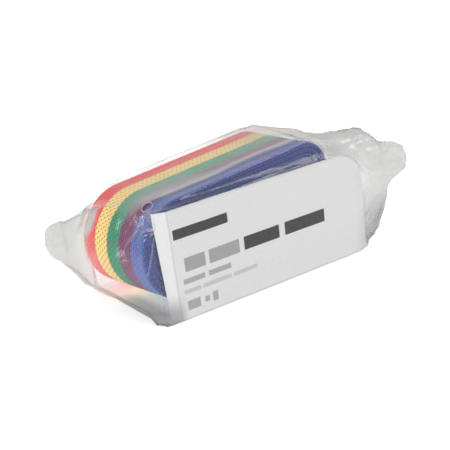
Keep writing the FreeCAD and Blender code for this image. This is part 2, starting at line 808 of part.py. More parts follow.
def check_document():
    for item in doc.Objects:
        if "Invalid" in item.State or "Error" in item.State:
            raise RuntimeError("%s failed: %s" % (item.Label, item.State))


def main():
    in_roll = [
        make_webbing(),
        make_tip(),
        make_frame(),
        make_rivet("web_bar", BAR_X, BAR_Z, "bar_diameter"),
        make_jaw(),
        make_rivet("jaw_pin", PIN_X, PIN_Z, "pin_diameter"),
        make_spring(),
        make_stitching(),
        make_label(),
        make_card(),
    ]
    for piece in in_roll:
        piece.Placement = ROLL_FRAME
    pieces = in_roll + [make_bag()]
    doc.recompute()
    check_document()
    os.makedirs("parts", exist_ok=True)
    for piece in pieces:
        shape = piece.Shape
        if shape.isNull() or not shape.isValid() or not shape.Solids:
            raise RuntimeError(piece.Label + " has no valid solid")
        shape.exportStep("parts/%s.step" % piece.Label)


main()
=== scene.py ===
import math

import bpy
import numpy as np
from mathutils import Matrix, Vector
from mathutils.bvhtree import BVHTree


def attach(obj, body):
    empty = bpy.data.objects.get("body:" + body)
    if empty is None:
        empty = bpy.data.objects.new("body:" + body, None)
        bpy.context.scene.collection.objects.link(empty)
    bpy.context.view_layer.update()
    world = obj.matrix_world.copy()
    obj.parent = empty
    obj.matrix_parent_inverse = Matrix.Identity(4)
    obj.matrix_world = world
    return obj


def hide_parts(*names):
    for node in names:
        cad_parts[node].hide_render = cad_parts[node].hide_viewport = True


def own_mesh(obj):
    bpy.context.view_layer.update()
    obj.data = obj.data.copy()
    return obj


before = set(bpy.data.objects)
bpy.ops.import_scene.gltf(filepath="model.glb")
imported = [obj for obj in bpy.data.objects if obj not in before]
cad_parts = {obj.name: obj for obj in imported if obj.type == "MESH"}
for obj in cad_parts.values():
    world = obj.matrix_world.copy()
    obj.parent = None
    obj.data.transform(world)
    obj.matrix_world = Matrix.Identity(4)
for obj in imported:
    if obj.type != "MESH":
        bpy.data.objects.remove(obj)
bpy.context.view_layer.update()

# A gait belt rolled round its buckle, with an insert card, in a clear film bag. Lengths in this
# script are millimetres until a mesh is made; MM turns them into Blender's metres. The roll frame
# is the CAD's: its origin is under the middle of the roll, which leans back by LEAN about the X axis.

MM = 0.001
LEAN = math.radians(8.0)
COS_LEAN = math.cos(LEAN)
SIN_LEAN = math.sin(LEAN)
BELT_WIDTH = 50.8
HALF_BELT = BELT_WIDTH / 2
# The roll's front lower edge touches the floor, with the film under it.
FILM_UNDER = 0.35
LIFT = HALF_BELT * math.sin(LEAN) + FILM_UNDER
# The visual film and card stop just above the floor.
FILM_FLOOR = 0.03
CARD_FLOOR = 0.45


def roll_to_world(points):
    """Points in the roll frame, as an array of x, y, z rows, moved to the row's frame."""
    points = np.asarray(points, float)
    x, y, z = np.moveaxis(points, -1, 0)
    return np.stack([x, y * COS_LEAN + z * SIN_LEAN, -y * SIN_LEAN + z * COS_LEAN + LIFT], -1)


def fade(value, start, end):
    """0 up to the start value, 1 from the end value on, and even in between."""
    return np.clip((value - start) / (end - start), 0, 1)


def upright(y, z):
    """One y, z place in the roll frame, moved to the row's frame."""
    return roll_to_world([0.0, y, z])[1:]


# ---- meshes

def new_mesh(name, verts, faces, smooth=True):
    """Object from vertices in millimetres, in the row's frame."""
    mesh = bpy.data.meshes.new(name)
    mesh.from_pydata((np.asarray(verts) * MM).tolist(), [], faces)
    mesh.validate()
    if smooth:
        mesh.polygons.foreach_set("use_smooth", [True] * len(mesh.polygons))
    obj = bpy.data.objects.new(name, mesh)
    bpy.context.scene.collection.objects.link(obj)
    return obj


def grid_faces(rows, columns, wrap=False):
    """Quads of a grid whose vertices run row by row. With wrap, each row is a closed ring."""
    faces = []
    for row in range(rows - 1):
        for column in range(columns if wrap else columns - 1):
            after = (column + 1) % columns
            a = row * columns + column
            b = row * columns + after
            faces.append((a, a + columns, b + columns, b))
    return faces


def tube_faces(rows, columns):
    """Quads of a tube of rings, and a face over each of its ends."""
    faces = grid_faces(rows, columns, wrap=True)
    faces.append(tuple(range(columns)))
    faces.append(tuple(reversed(range((rows - 1) * columns, rows * columns))))
    return faces


def set_uv(obj, coordinates):
    """UV map in millimetres, given per vertex."""
    layer = obj.data.uv_layers.new(name="millimetres")
    index = np.zeros(len(obj.data.loops), np.int32)
    obj.data.loops.foreach_get("vertex_index", index)
    layer.data.foreach_set("uv", np.asarray(coordinates, np.float32)[index].ravel())


def set_float(obj, name, values):
    """Number per vertex that a material can read by name."""
    attribute = obj.data.attributes.new(name, "FLOAT", "POINT")
    attribute.data.foreach_set("value", np.asarray(values, np.float32).ravel())


def thicken(obj, thickness):
    """Gives a sheet its thickness, half on each side, and applies it."""
    modifier = obj.modifiers.new("thickness", "SOLIDIFY")
    modifier.thickness = thickness * MM
    modifier.offset = 0.0
    bpy.context.view_layer.update()
    graph = bpy.context.evaluated_depsgraph_get()
    solid = obj.evaluated_get(graph)
    mesh = bpy.data.meshes.new_from_object(solid, preserve_all_data_layers=True, depsgraph=graph)
    obj.modifiers.clear()
    obj.data = mesh


# ---- shader nodes

class Nodes:
    """Short names for the shader nodes that every material here is made of."""

    def __init__(self, name):
        self.material = bpy.data.materials.new(name)
        self.material.use_nodes = True
        self.tree = self.material.node_tree
        self.tree.nodes.clear()
        self.output = self.tree.nodes.new("ShaderNodeOutputMaterial")

    def add(self, kind, inputs=None, **settings):
        node = self.tree.nodes.new("ShaderNode" + kind)
        for key, value in settings.items():
            setattr(node, key, value)
        for key, value in (inputs or {}).items():
            self.put(node.inputs[key], value)
        return node

    def put(self, socket, value):
        if isinstance(value, bpy.types.NodeSocket):
            self.tree.links.new(value, socket)
        else:
            socket.default_value = value

    def math(self, operation, first, second=None, third=None, clamp=False):
        node = self.add("Math", operation=operation, use_clamp=clamp)
        for index, value in enumerate((first, second, third)):
            if value is not None:
                self.put(node.inputs[index], value)
        return node.outputs[0]

    def plus(self, first, second):
        return self.math("ADD", first, second)

    def minus(self, first, second, clamp=False):
        return self.math("SUBTRACT", first, second, clamp=clamp)

    def times(self, first, second, clamp=False):
        return self.math("MULTIPLY", first, second, clamp=clamp)

    def scaled(self, value, factor, offset, clamp=False):
        """value * factor + offset"""
        return self.math("MULTIPLY_ADD", value, factor, offset, clamp=clamp)

    def power(self, value, exponent):
        return self.math("POWER", value, exponent)

    def absolute(self, value):
        return self.math("ABSOLUTE", value)

    def mix(self, factor, first, second, blend="MIX"):
        node = self.add("Mix", data_type="RGBA", blend_type=blend)
        self.put(node.inputs[0], factor)
        self.put(node.inputs[6], first)
        self.put(node.inputs[7], second)
        return node.outputs[2]

    def ramp(self, factor, stops, interpolation="LINEAR"):
        node = self.add("ValToRGB", {"Fac": factor})
        elements = node.color_ramp.elements
        node.color_ramp.interpolation = interpolation
        while len(elements) < len(stops):
            elements.new(0.5)
        for element, (place, color) in zip(elements, stops):
            element.position = place
            element.color = color
        return node.outputs[0]

    def noise(self, vector, scale, detail=2.0, rough=0.5):
        node = self.add("TexNoise", {"Scale": scale, "Detail": detail, "Roughness": rough})
        self.put(node.inputs["Vector"], vector)
        return node.outputs["Fac"]

    def stretched(self, vector, scale):
        """Vector scaled along each axis, so that a noise on it is drawn out."""
        return self.add("Mapping", {"Vector": vector, "Scale": scale}).outputs[0]

    def bump(self, height, strength, distance):
        node = self.add("Bump", {"Height": height, "Strength": strength, "Distance": distance})
        return node.outputs["Normal"]

    def attribute(self, name):
        return self.add("Attribute", attribute_name=name).outputs["Fac"]

    def uv(self):
        """The millimetre UV as a vector, and its two parts."""
        node = self.add("UVMap", uv_map="millimetres")
        parts = self.add("SeparateXYZ", {"Vector": node.outputs[0]})
        return node.outputs[0], parts.outputs[0], parts.outputs[1]

    def position(self):
        return self.add("NewGeometry").outputs["Position"]

    def shader(self, kind, **inputs):
        names = {key.replace("_", " "): value for key, value in inputs.items()}
        return self.add(kind, names).outputs[0]

    def principled(self, **inputs):
        return self.shader("BsdfPrincipled", **inputs)

    def blend(self, share, first, second):
        return self.add("MixShader", {0: share, 1: first, 2: second}).outputs[0]

    def fade(self, value, start, end):
        """0 at the start value, 1 at the end value and beyond it."""
        return self.add("MapRange", {"Value": value, "From Min": start, "From Max": end}).outputs[0]

    def finish(self, shader):
        self.tree.links.new(shader, self.output.inputs["Surface"])
        return self.material


def rgb(red, green, blue):
    """Linear colour from sRGB values out of 255."""
    parts = [value / 255 for value in (red, green, blue)]
    return (*(v / 12.92 if v <= 0.04045 else ((v + 0.055) / 1.055) ** 2.4 for v in parts), 1.0)


# ---- webbing

WEB = 2.45
LAYER_PITCH = 2.8
LAYERS = 5
ROLL_HEIGHT = 59.4
# The roll's outside turns about three places: x, and radius. The top one hangs from ROLL_HEIGHT.
BENDS = {"left": (-36.9, 25.9), "top": (47.0, 16.4), "bottom": (45.4, 18.0)}
# The free end folds back round the buckle's bar: the bar's x, and the bend's radius.
BAR = (2.0, 3.325)
FOLD_END_X = 44.0
FOLD_BEND = (15.0, 7.0)
FOLD_GAP = 0.1
BAR_TO_TIP = 1524.0 - 38.4
# The metal tip crimps the webbing's end.
CRIMP_LENGTH = 9.0
CRIMP_DEPTH = 0.45
CRIMP_GAP = 0.05

# Weave: width of a warp rib, and length of one weft pick.
RIB = BELT_WIDTH / 28
PICK = 2.8
PATH_STEP = 0.95
EDGE_RADIUS = 1.15
SELVEDGE = 1.2
RIB_RELIEF = 0.16
KNUCKLE_RELIEF = 0.12
EDGE_LOOP = 0.22


def bend(name, layers_in):
    """(x, z, radius, turn) of the webbing's middle line at one bend of the roll."""
    x, outside = BENDS[name]
    height = ROLL_HEIGHT - outside if name == "top" else outside
    return (x, height, outside - WEB / 2 - layers_in * LAYER_PITCH, 1)


def tangent(first, second):
    """Heading, start and end of the straight run from one bend to the next."""
    x1, z1, radius1, turn1 = first
    x2, z2, radius2, turn2 = second
    out1 = turn1 * radius1
    out2 = turn2 * radius2
    heading = math.atan2(z2 - z1, x2 - x1) - math.asin((out2 - out1) / math.hypot(x2 - x1, z2 - z1))
    sin, cos = math.sin(heading), math.cos(heading)
    return heading, (x1 + out1 * sin, z1 - out1 * cos), (x2 + out2 * sin, z2 - out2 * cos)


def webbing_bends():
    """Every bend of the middle line, from the sewn fold round the bar to the free tip."""
    run_z = BENDS["bottom"][1] - bend("bottom", LAYERS)[2]
    fold_z = run_z + WEB + FOLD_GAP
    bends = [
        (FOLD_END_X, fold_z, 0.0, 1),
        (FOLD_BEND[0], fold_z + FOLD_BEND[1], FOLD_BEND[1], -1),
        (BAR[0], run_z + BAR[1], BAR[1], 1),
    ]
    for layers_in in range(LAYERS, 0, -1):
        bends += [bend("bottom", layers_in), bend("top", layers_in - 1), bend("left", layers_in - 1)]
    return bends + [bend("bottom", 0), bend("top", -1)]


def straight_samples(first, second, step, length):
    """Points along the run between two bends, and the length at its end."""
    heading, start, end = tangent(first, second)
    run = math.dist(start, end)
    count = max(1, round(run / step))
    samples = []
    for number in range(count):
        along = run * number / count
        x = start[0] + along * math.cos(heading)
        z = start[1] + along * math.sin(heading)
        samples.append((x, z, heading, length))
        length += run / count
    return samples, length


def bend_samples(this_bend, arrive, leave, step, length):
    """Points round one bend between two headings, and the length at its end."""
    x, z, radius, turn = this_bend
    sweep = ((leave - arrive) * turn) % (2 * math.pi)
    count = max(3, round(radius * sweep / step))
    samples = []
    for number in range(count):
        heading = arrive + turn * sweep * number / count
        away = turn * radius
        samples.append((x + away * math.sin(heading), z - away * math.cos(heading), heading, length))
        length += radius * sweep / count
    return samples, length


def webbing_path(step):
    """Middle line of the webbing: x, z, heading and length so far, at about every step."""
    bends = webbing_bends()
    samples = []
    length = 0.0
    for index in range(len(bends) - 1):
        run, length = straight_samples(bends[index], bends[index + 1], step, length)
        samples += run
        if index == len(bends) - 2:
            break
        arrive = tangent(bends[index], bends[index + 1])[0]
        leave = tangent(bends[index + 1], bends[index + 2])[0]
        turn, length = bend_samples(bends[index + 1], arrive, leave, step, length)
        samples += turn
        if index == 1:
            tip_length = length + BAR_TO_TIP
    kept = [sample for sample in samples if sample[3] < tip_length]
    x, z, heading, length = kept[-1]
    rest = tip_length - length
    kept.append((x + rest * math.cos(heading), z + rest * math.sin(heading), heading, tip_length))
    return np.array(kept)


def webbing_profile():
    """Closed outline across the webbing: place across it, and height above its middle."""
    half = WEB / 2
    flat = HALF_BELT - EDGE_RADIUS
    turn = np.linspace(0, math.pi, 7)[1:-1]
    under = np.stack([np.linspace(flat, -flat, 84), np.full(84, -half)], -1)
    edge = np.stack([-flat - EDGE_RADIUS * np.sin(turn), -half * np.cos(turn)], -1)
    over = np.stack([np.linspace(-flat, flat, 24), np.full(24, half)], -1)
    return np.concatenate([under, edge, over, -edge])


def weave_relief(along, across):
    """Height of the raised ribs, with a knuckle where each pick crosses one."""
    rib_place = (across + HALF_BELT) / RIB
    rib = np.floor(rib_place)
    in_rib = rib_place % 1.0
    crown = np.sin(math.pi * in_rib) ** 0.7
    knuckle = np.cos(2 * math.pi * (along / PICK + 0.5 * (rib % 2) + 0.5 * np.abs(in_rib - 0.5)))
    return RIB_RELIEF * (crown - 0.6) + KNUCKLE_RELIEF * knuckle * crown


def make_webbing():
    """Rolled strap with woven relief, looped edges and a slight wander from side to side."""
    path = webbing_path(PATH_STEP)
    outline = webbing_profile()
    rows, columns = len(path), len(outline)
    across = np.tile(outline[:, 0], (rows, 1))
    height = np.tile(outline[:, 1], (rows, 1))
    along = np.tile(path[:, 3:4], (1, columns))

    edge_part = fade(np.abs(across), HALF_BELT - SELVEDGE, HALF_BELT)
    loops = EDGE_LOOP * np.cos(2 * math.pi * along / PICK) * edge_part
    in_crimp = path[:, 3:4] > path[-1, 3] - CRIMP_LENGTH
    squeezed = (WEB - 2 * (CRIMP_DEPTH + CRIMP_GAP)) / WEB
    height = height * np.where(in_crimp, squeezed, 1 + weave_relief(along, across) / (WEB / 2))
    wander = 0.14 * np.sin(along / 37.0 + 1.0) + 0.08 * np.sin(along / 11.3)
    across_moved = across + np.sign(across) * (loops - 0.25) + wander
    x = path[:, 0:1] - height * np.sin(path[:, 2:3])
    z = path[:, 1:2] + height * np.cos(path[:, 2:3])
    verts = roll_to_world(np.stack([x, across_moved, z], -1)).reshape(-1, 3)
    webbing = new_mesh("belt_webbing", verts, tube_faces(rows, columns))
    set_uv(webbing, np.stack([along.ravel(), across.ravel()], -1))
    set_float(webbing, "edge", edge_part)
    webbing.data.materials.append(webbing_material())
    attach(webbing, "belt_roll")
    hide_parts("webbing_strap")
    return webbing


def weft_dots(n, along, rib_place):
    """Round dots of weft between the ribs, staggered from one valley to the next."""
    valley_place = n.plus(rib_place, 0.5)
    odd = n.math("MODULO", n.math("FLOOR", valley_place), 2.0)
    across_dot = n.times(n.minus(n.math("FRACT", valley_place), 0.5), RIB)
    dot_place = n.scaled(along, 1 / PICK, n.times(odd, 0.5))
    along_dot = n.times(n.minus(n.math("FRACT", dot_place), 0.5), PICK)
    along_part = n.times(n.power(n.absolute(along_dot), 2.0), 0.7)
    reach = n.plus(n.power(n.absolute(across_dot), 2.0), along_part)
    return n.fade(reach, 0.34, 0.14)


def webbing_material():
    """Five woven stripes with the weft showing as small dots between the ribs."""
    n = Nodes("cotton_webbing")
    vector, along, across = n.uv()
    fuzz = n.noise(vector, 1.3, 3.0)
    wobble = n.scaled(n.minus(fuzz, 0.5), 0.5, across)
    stripe = n.math("DIVIDE", n.minus(HALF_BELT, wobble), BELT_WIDTH)
    warp = n.ramp(stripe, [
        (0.0, rgb(238, 36, 34)), (0.2, rgb(250, 220, 125)), (0.4, rgb(8, 150, 108)),
        (0.6, rgb(112, 58, 104)), (0.8, rgb(38, 106, 178)),
    ], "CONSTANT")
    weft = n.ramp(stripe, [
        (0.0, rgb(176, 22, 26)), (0.2, rgb(196, 84, 24)), (0.4, rgb(96, 60, 44)),
        (0.6, rgb(150, 26, 44)), (0.8, rgb(196, 34, 52)),
    ], "CONSTANT")

    rib_place = n.math("DIVIDE", n.plus(across, HALF_BELT), RIB)
    in_rib = n.math("FRACT", rib_place)
    from_crest = n.absolute(n.minus(in_rib, 0.5))
    odd = n.math("MODULO", n.math("FLOOR", rib_place), 2.0)
    pick = n.plus(n.scaled(along, 1 / PICK, n.times(odd, 0.5)), n.times(from_crest, 0.5))
    in_pick = n.absolute(n.minus(n.math("FRACT", pick), 0.5))
    # Painted shade: valley and gap find the hollows between the ribs and between the picks, and hollow
    # darkens the colour there.
    valley = n.power(n.times(from_crest, 2.0), 3.5)
    gap = n.power(n.times(in_pick, 2.0), 3.5)
    hollow = n.scaled(n.math("MAXIMUM", n.times(valley, 0.5), gap), -0.4, 1.1)

    yarn = n.noise(vector, 4.0, 4.0, 0.7)
    strand = n.math("SINE", n.times(n.plus(along, n.times(from_crest, RIB)), 8.5))
    shade = n.times(n.scaled(yarn, 0.4, 0.9), hollow)
    shade = n.times(shade, n.scaled(strand, 0.09, 1.0))
    grey = n.add("CombineColor", {"Red": shade, "Green": shade, "Blue": shade}).outputs[0]
    # The warp's colour times its yarn tone, its strands and the painted shade in the hollows.
    toned = n.mix(1.0, warp, grey, "MULTIPLY")

    edge = n.attribute("edge")
    dots = n.times(weft_dots(n, along, rib_place), n.math("GREATER_THAN", fuzz, 0.36))
    dots = n.times(dots, n.scaled(edge, -0.9, 0.9))
    color = n.mix(dots, toned, weft)
    edge_loop = n.math("GREATER_THAN", n.math("COSINE", n.times(along, 2 * math.pi / PICK)), 0.93)
    # Painted shade: the webbing's rounded edges are darkened towards navy, for the shade between the layers
    # of the roll.
    color = n.mix(n.times(edge, 0.7), color, n.mix(1.0, color, rgb(150, 162, 186), "MULTIPLY"))
    color = n.mix(n.times(n.times(edge_loop, edge), 0.8), color, weft)

    crown = n.math("SINE", n.times(in_rib, math.pi))
    height = n.plus(n.times(crown, 0.5), n.times(strand, 0.2))
    height = n.plus(height, n.times(yarn, 0.35))
    height = n.scaled(gap, -0.4, height)
    shader = n.principled(
        Base_Color=color, Roughness=0.88, Specular_IOR_Level=0.25, Sheen_Weight=0.35, Sheen_Roughness=0.5,
        Normal=n.bump(height, 0.5, 0.0004),
    )
    return n.finish(shader)


# ---- card

CARD_FACE = -30.9
CARD_TOP = 49.1
CARD_BOTTOM = -7.7
CARD_THICKNESS = 0.3
# Left edge: a strip of the card is folded back, and both its sides lean.
CARD_LEFT = -50.7
CARD_LEFT_SLANT = 2.9
CARD_FLAP = 7.6
CARD_FLAP_SLANT = 2.7
CARD_FLAP_ANGLE = math.radians(26)
# Right end: bent back round an arc, with its upper corner rounded off.
CARD_BEND_X = 73.0
CARD_BEND_RADIUS = 24.0
CARD_BEND_ANGLE = math.radians(35)
CARD_CORNER = 24.0
CARD_STRAIGHT = CARD_BEND_X - CARD_LEFT
CARD_LENGTH = CARD_STRAIGHT + CARD_BEND_RADIUS * CARD_BEND_ANGLE

# Generic printed bars, row by row: foot, head, darkness, and each bar's left and right end.
PRINT_ROWS = [
    (33.8, 39.0, 1.0, [(-49.0, -14.0)]),
    (16.2, 23.4, 0.55, [(-44.5, -31.5), (-29.0, -8.0)]),
    (16.4, 23.4, 1.0, [(-4.5, 20.0), (24.0, 52.5)]),
    (10.1, 12.8, 0.5, [(-46.6, -33.0), (-30.5, -15.6)]),
    (5.0, 7.2, 0.26, [(-47.0, -36.5), (-35.0, -16.0), (-14.5, 3.3)]),
    (-3.6, 1.3, 0.5, [(-46.1, -38.0), (-30.0, -26.6)]),
    (-2.6, 0.4, 0.5, [(-35.0, -32.2)]),
]


def card_plan(s):
    """x and y on the card's face, s millimetres to the right of its left fold."""
    if s < 0:
        return CARD_LEFT + s * math.cos(CARD_FLAP_ANGLE), CARD_FACE - s * math.sin(CARD_FLAP_ANGLE)
    if s <= CARD_STRAIGHT:
        return CARD_LEFT + s, CARD_FACE
    turn = (s - CARD_STRAIGHT) / CARD_BEND_RADIUS
    x = CARD_BEND_X + CARD_BEND_RADIUS * math.sin(turn)
    return x, CARD_FACE + CARD_BEND_RADIUS * (1 - math.cos(turn))


def card_top_at(x):
    """Height of the card's upper edge at x: level, then rounded off at the right corner."""
    end_x = card_plan(CARD_LENGTH)[0]
    reach = fade(x, end_x - CARD_CORNER, end_x)
    return CARD_TOP - CARD_CORNER * (1 - np.sqrt(1 - reach ** 2))


def card_slant(s, x):
    """How far to the right the card's foot stands at x, compared with its upper edge."""
    return (CARD_LEFT_SLANT - CARD_FLAP_SLANT * min(s, 0) / CARD_FLAP) * fade(x, 0, -20)


def make_card():
    """Printed sheet, folded back at the left and bent away at the right, and not quite flat."""
    places = np.concatenate([np.linspace(-CARD_FLAP, 0, 9)[:-1], np.linspace(0, CARD_LENGTH, 120)])
    heights = np.linspace(0, 1, 50)
    verts = []
    uvs = []
    for s in places:
        x, y = card_plan(s)
        top = float(card_top_at(x))
        bottom = max(CARD_BOTTOM, (CARD_FLOOR - LIFT + y * SIN_LEAN) / COS_LEAN)
        calm = fade(x, -45, -25)
        for part in heights:
            z = bottom + (top - bottom) * part
            swell = 0.175 * math.sin(x / 17.0 + 1.0) * math.sin(z / 21.0 + 0.5)
            ripple = 0.12 * math.sin(x / 5.1 + z / 9.0)
            slant = (1 - part) * card_slant(s, x)
            verts.append((x + slant, y + (swell + ripple) * calm * (0.3 + 0.7 * part), z))
            uvs.append((x if s >= 0 else CARD_LEFT + s, z))
    card = new_mesh("card_sheet", roll_to_world(verts), grid_faces(len(places), len(heights)))
    set_uv(card, uvs)
    card.data.materials.append(card_material())
    thicken(card, CARD_THICKNESS)
    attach(card, "card")
    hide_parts("insert_card")
    return card


def printed_bars(n, across, up):
    """Darkness of the print, from the rows of bars."""
    ink = None
    for foot, head, dark, bars in PRINT_ROWS:
        tall = n.math("LESS_THAN", n.absolute(n.minus(up, (foot + head) / 2)), (head - foot) / 2)
        for left, right in bars:
            wide = n.math("LESS_THAN", n.absolute(n.minus(across, (left + right) / 2)), (right - left) / 2)
            bar = n.times(n.times(wide, tall), dark)
            ink = bar if ink is None else n.math("MAXIMUM", ink, bar)
    return ink


def card_material():
    """Coated white card with plain grey bars where the print would be, on both of its faces."""
    n = Nodes("printed_card")
    vector, across, up = n.uv()
    fibre = n.noise(vector, 0.9, 5.0, 0.6)
    paper = n.ramp(fibre, [(0.3, rgb(216, 216, 217)), (0.7, rgb(226, 226, 227))])
    from_fold = n.minus(across, CARD_LEFT)
    on_fold = n.math("LESS_THAN", n.absolute(from_fold), 0.4)
    on_flap = n.math("LESS_THAN", from_fold, 0.0)
    # Painted reflection: light streaks on the folded-back flap stand for the glare of the film over it.
    flap_glare = n.times(n.noise(n.stretched(vector, (1.0, 0.04, 1.0)), 1.1, 3.0, 0.6), on_flap)
    paper = n.mix(n.times(flap_glare, 0.6), paper, rgb(248, 248, 249))
    # Painted shade: a thin grey line along the fold.
    paper = n.mix(n.times(on_fold, 0.3), paper, rgb(150, 150, 152))
    shader = n.principled(
        Base_Color=n.mix(printed_bars(n, across, up), paper, rgb(16, 16, 18)), Roughness=0.5,
        Specular_IOR_Level=0.35, Normal=n.bump(fibre, 0.12, 0.0003),
    )
    return n.finish(shader)


# ---- film bag: shape

# Gap between the film and what it lies on.
FILM_CLEAR = 0.75
# Points along each side of a section: front, brow, roof, up the ridge, ridge to rear, upper rear,
# lower rear and floor.
SIDE_COUNTS = (34, 8, 16, 8, 18, 18, 14, 36)
FILM_ROWS = 300
# Rows that the left end is held over while the film settles. The right end has twice as many.
HELD_ROWS = 14
RIDGE_HEIGHT = 2.0
REAR_HEIGHT = 4.2
VENT = (-50.5, -8.6)
VENT_RADIUS = 3.1
VENT_LIP = 0.26
# Low and high corners of the space that the buckle fills.
BUCKLE_BOX = ((-36.6, -29.8, 8.0), (5.8, 29.8, 40.0))
# How far behind the card the film can be and still belong in front of it.
CARD_BACKING = 4.0

# Corners of the film beyond the roll: X, then (y, z) in the same order as in a pack section.
LEFT_TAIL = (
    (-98.5, (7, 42), (7, 44), (7.2, 46.5), (7.5, 48), (8, 49), (8.7, 48), (8.8, 44), (8.4, 42)),
    (-96, (5.6, 36.5), (5.2, 42), (6, 47.5), (6.8, 50), (8, 52.5), (10, 51), (10.2, 43), (9, 36.5)),
    (-91, (5, 32.5), (4.5, 40), (5.6, 46), (6.6, 49), (8, 53.2), (10.4, 52), (11, 42), (9, 32.5)),
    (-84, (2, 24.5), (1.5, 34), (3, 39), (5.5, 46), (8, 54.3), (12, 52.5), (12.5, 38), (9, 24.5)),
    (-76, (-3, 14.5), (-3.5, 28), (-1, 34), (3.5, 41), (8.4, 55), (14.5, 53), (15.5, 32), (11, 14.5)),
    (-69, (-13, 11), (-14, 27), (-9, 33), (2, 38), (8.8, 55.3), (19, 53), (21, 28), (14, 10)),
    (-63.5, (-24, 6.5), (-26, 32), (-22, 35.5), (2, 38), (9, 55.8), (24, 52), (27, 27), (20, 6.5)),
)
RIGHT_TAIL = (
    (66, (-32.3, 0.05), (-25.6, 52), (-20, 57.5), (-9, 58.5), (-3, 61), (27, 62.5), (32, 28), (27, 0.05)),
    (76, (-31.6, 0.05), (-25.5, 49), (-18, 55), (-9, 57.5), (-3, 60), (19, 61), (26, 28), (22, 0.05)),
    (85, (-28.8, 0.05), (-25, 45), (-17, 52.5), (-9, 55.5), (-3.5, 58), (10, 59), (18, 28), (14, 0.05)),
    (93, (-25, 0.05), (-23, 41), (-15, 52), (-9, 56), (-4, 58.5), (4, 59.5), (10, 30), (6, 0.3)),
    (100, (-22, 0.3), (-21.5, 38), (-14, 52), (-9, 57), (-5, 59.5), (1, 60), (4, 30), (-2, 2.5)),
    (106, (-20.8, 6), (-21, 34), (-16, 50), (-12, 54.5), (-8, 57), (-3, 57.5), (-2, 34), (-8, 9)),
    (111, (-20, 18), (-21, 32), (-18, 46), (-15, 50), (-12, 51), (-7, 50.5), (-6, 36), (-12, 20)),
    (115.5, (-18, 28.5), (-20, 34), (-18, 44), (-16, 47), (-14, 48.3), (-10, 47.8), (-9, 36), (-13, 29.5)),
    (121, (-18, 30.5), (-22, 34.5), (-19, 44), (-16.5, 47), (-14, 48.3), (-9, 46), (-7, 37), (-11, 31)),
    (127, (-17, 33), (-20, 36.5), (-18, 42), (-16, 44), (-14.5, 45), (-11, 43), (-9.5, 37), (-13, 33.5)),
    (130.5, (-15.5, 36.5), (-16, 37.5), (-15.5, 39), (-15.2, 40), (-15, 40.5), (-14, 39.5), (-14, 37.5),
     (-14.5, 36.5)),
)


def roof_height(x):
    """Top of the roll at x, in the roll frame."""
    left_x, left_radius = BENDS["left"]
    top_x, top_radius = BENDS["top"]
    if x <= left_x:
        return left_radius + math.sqrt(max(0.0, left_radius ** 2 - (x - left_x) ** 2))
    if x >= top_x:
        return ROLL_HEIGHT - top_radius + math.sqrt(max(0.0, top_radius ** 2 - (x - top_x) ** 2))
    part = (x - left_x) / (top_x - left_x)
    return 2 * left_radius + part * (ROLL_HEIGHT - 2 * left_radius)


def pack_section(x, rear_lift=REAR_HEIGHT):
    """Film round the pack at x, as eight corners (y, z) from the floor in front to the floor behind.

    The two gathered ends pull a ridge over the roof: it runs back to front from left to right.
    """
    clear = FILM_CLEAR + 0.1
    front = CARD_FACE - clear
    floor = FILM_FLOOR + 0.02
    roof = roof_height(x) + clear
    ridge_y = -4.0 - 0.066 * x
    ridge = roof + RIDGE_HEIGHT
    rear = upright(26.4, roof + rear_lift)
    past_left = -43.0 - x
    if past_left > -6.0:
        ridge = max(ridge, roof_height(-37.0) + RIDGE_HEIGHT - 0.095 * (past_left + 6.0))
    if past_left > 0.0:
        rear = (33.0 - 0.42 * past_left, 51.3)
    return np.array([
        (upright(front, CARD_BOTTOM)[0], floor),
        upright(front, CARD_TOP + clear),
        upright(-HALF_BELT - clear, max(roof, CARD_TOP - 5.0)),
        upright(ridge_y - 7.0, roof),
        upright(ridge_y, ridge),
        rear,
        upright(30.6, min(27.0, roof - 2.0)),
        (upright(28.6, 0.0)[0], floor),
    ])


def film_stations():
    """Corners of the film at places along X, from the left tail to the gathered right one."""
    pack = [(x, pack_section(x)) for x in (-57.0, -52.0, -46.0, -37.0, 0.0, 47.0)]
    pack.append((56.0, pack_section(47.0, rear_lift=4.4)))
    left = [(x, np.array(corners, float)) for x, *corners in LEFT_TAIL]
    right = [(x, np.array(corners, float)) for x, *corners in RIGHT_TAIL]
    return left + pack + right


def smooth_between(places, values, wanted):
    """Monotone cubic through the values at each place, sampled at the wanted places."""
    places = np.asarray(places, float)
    values = np.asarray(values, float)
    steps = np.diff(places)[:, None]
    slopes = np.diff(values, axis=0) / steps
    tangents = np.zeros_like(values)
    same_way = slopes[:-1] * slopes[1:] > 0
    mean = 2 * slopes[:-1] * slopes[1:] / np.where(same_way, slopes[:-1] + slopes[1:], 1.0)
    tangents[1:-1] = np.where(same_way, mean, 0.0)
    tangents[[0, -1]] = slopes[[0, -1]]
    index = np.clip(np.searchsorted(places, wanted, side="right") - 1, 0, len(places) - 2)
    width = steps[index]
    t = (wanted - places[index])[:, None] / width
    towards = 3 * t ** 2 - 2 * t ** 3
    value = (1 - towards) * values[index] + towards * values[index + 1]
    leaving = (t ** 3 - 2 * t ** 2 + t) * tangents[index]
    return value + width * (leaving + (t ** 3 - t ** 2) * tangents[index + 1])


def beside(grid):
    """Mean of each point's two neighbours round its ring."""
    return (np.roll(grid, 1, axis=1) + np.roll(grid, -1, axis=1)) / 2


